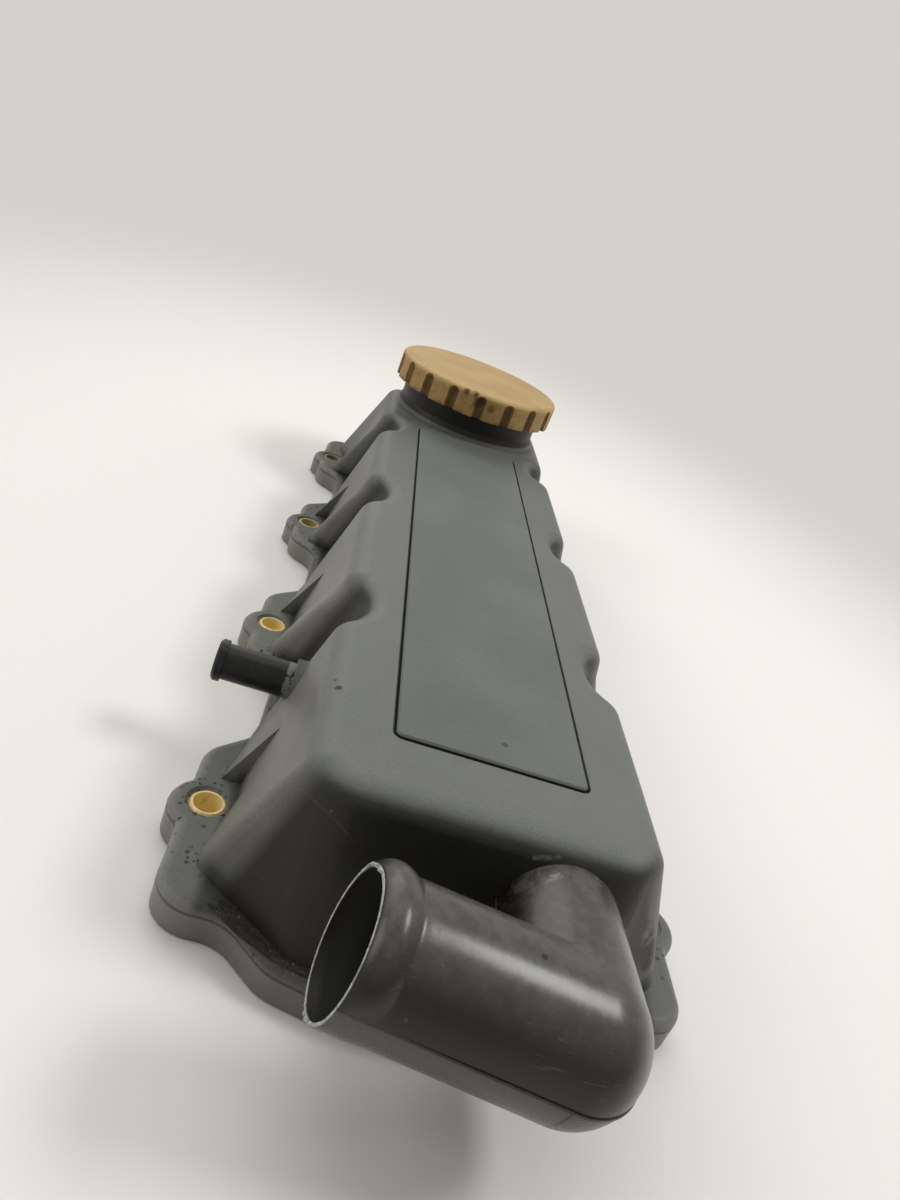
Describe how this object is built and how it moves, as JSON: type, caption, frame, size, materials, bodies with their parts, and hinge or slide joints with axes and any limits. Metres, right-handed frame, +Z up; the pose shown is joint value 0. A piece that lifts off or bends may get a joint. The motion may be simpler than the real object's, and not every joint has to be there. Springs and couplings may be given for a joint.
{
  "type": "engine valve cover",
  "caption": "Long moulded engine valve cover with side wells, bushed bolt lobes, a breather elbow on one end, a side vent nipple and a screw-on oil filler cap.",
  "frame": {"origin": "centre of the bolt pattern, on the sealing face of the flange", "axes": "+X across the cover, +Y along it from the breather elbow end to the oil filler cap end, +Z up through the deck"},
  "size_m": [0.1258, 0.373, 0.0685],
  "materials": {
    "moulded_cover": "moulded, satin, dusty",
    "cover_panel": "moulded, satin",
    "breather_plastic": "moulded, smooth satin",
    "nipple_plastic": "moulded, slightly glossy",
    "cap_plastic": "moulded, satin, ochre",
    "bush_brass": "turned",
    "seal_rubber": "black, matte",
    "gasket_rubber": "black, matte",
    "baffle_steel": "sheet, oil stained",
    "screw_steel": "plated"
  },
  "bodies": {
    "cover": {"cover_shell": "moulded_cover", "deck_panel": "cover_panel", "breather_elbow": "breather_plastic", "vent_nipple": "nipple_plastic", "flange_gasket": "gasket_rubber", "oil_baffle": "baffle_steel", "bolt_bush_left_1": "bush_brass", "bolt_bush_left_2": "bush_brass", "bolt_bush_left_3": "bush_brass", "bolt_bush_left_4": "bush_brass", "bolt_bush_right_1": "bush_brass", "bolt_bush_right_2": "bush_brass", "bolt_bush_right_3": "bush_brass", "bolt_bush_right_4": "bush_brass", "baffle_screw_1": "screw_steel", "baffle_screw_2": "screw_steel", "baffle_screw_3": "screw_steel", "baffle_screw_4": "screw_steel", "baffle_screw_5": "screw_steel", "baffle_screw_6": "screw_steel"},
    "seal_ring": {"cap_seal": "seal_rubber"},
    "cap": {"oil_filler_cap": "cap_plastic"}
  },
  "joints": [
    {"name": "cap_lift", "type": "slide", "parent": "cover", "child": "seal_ring", "axis": [0, 0, 1], "range_m": [0, 0.014]},
    {"name": "cap_turn", "type": "hinge", "parent": "seal_ring", "child": "cap", "pos_m": [0, 0.135, 0.065], "axis": [0, 0, 1], "range_deg": [0, 620]}
  ],
  "couplings": [
    {"joint": "cap_lift", "follows": "cap_turn", "m_per_rad": 0.0012732}
  ]
}
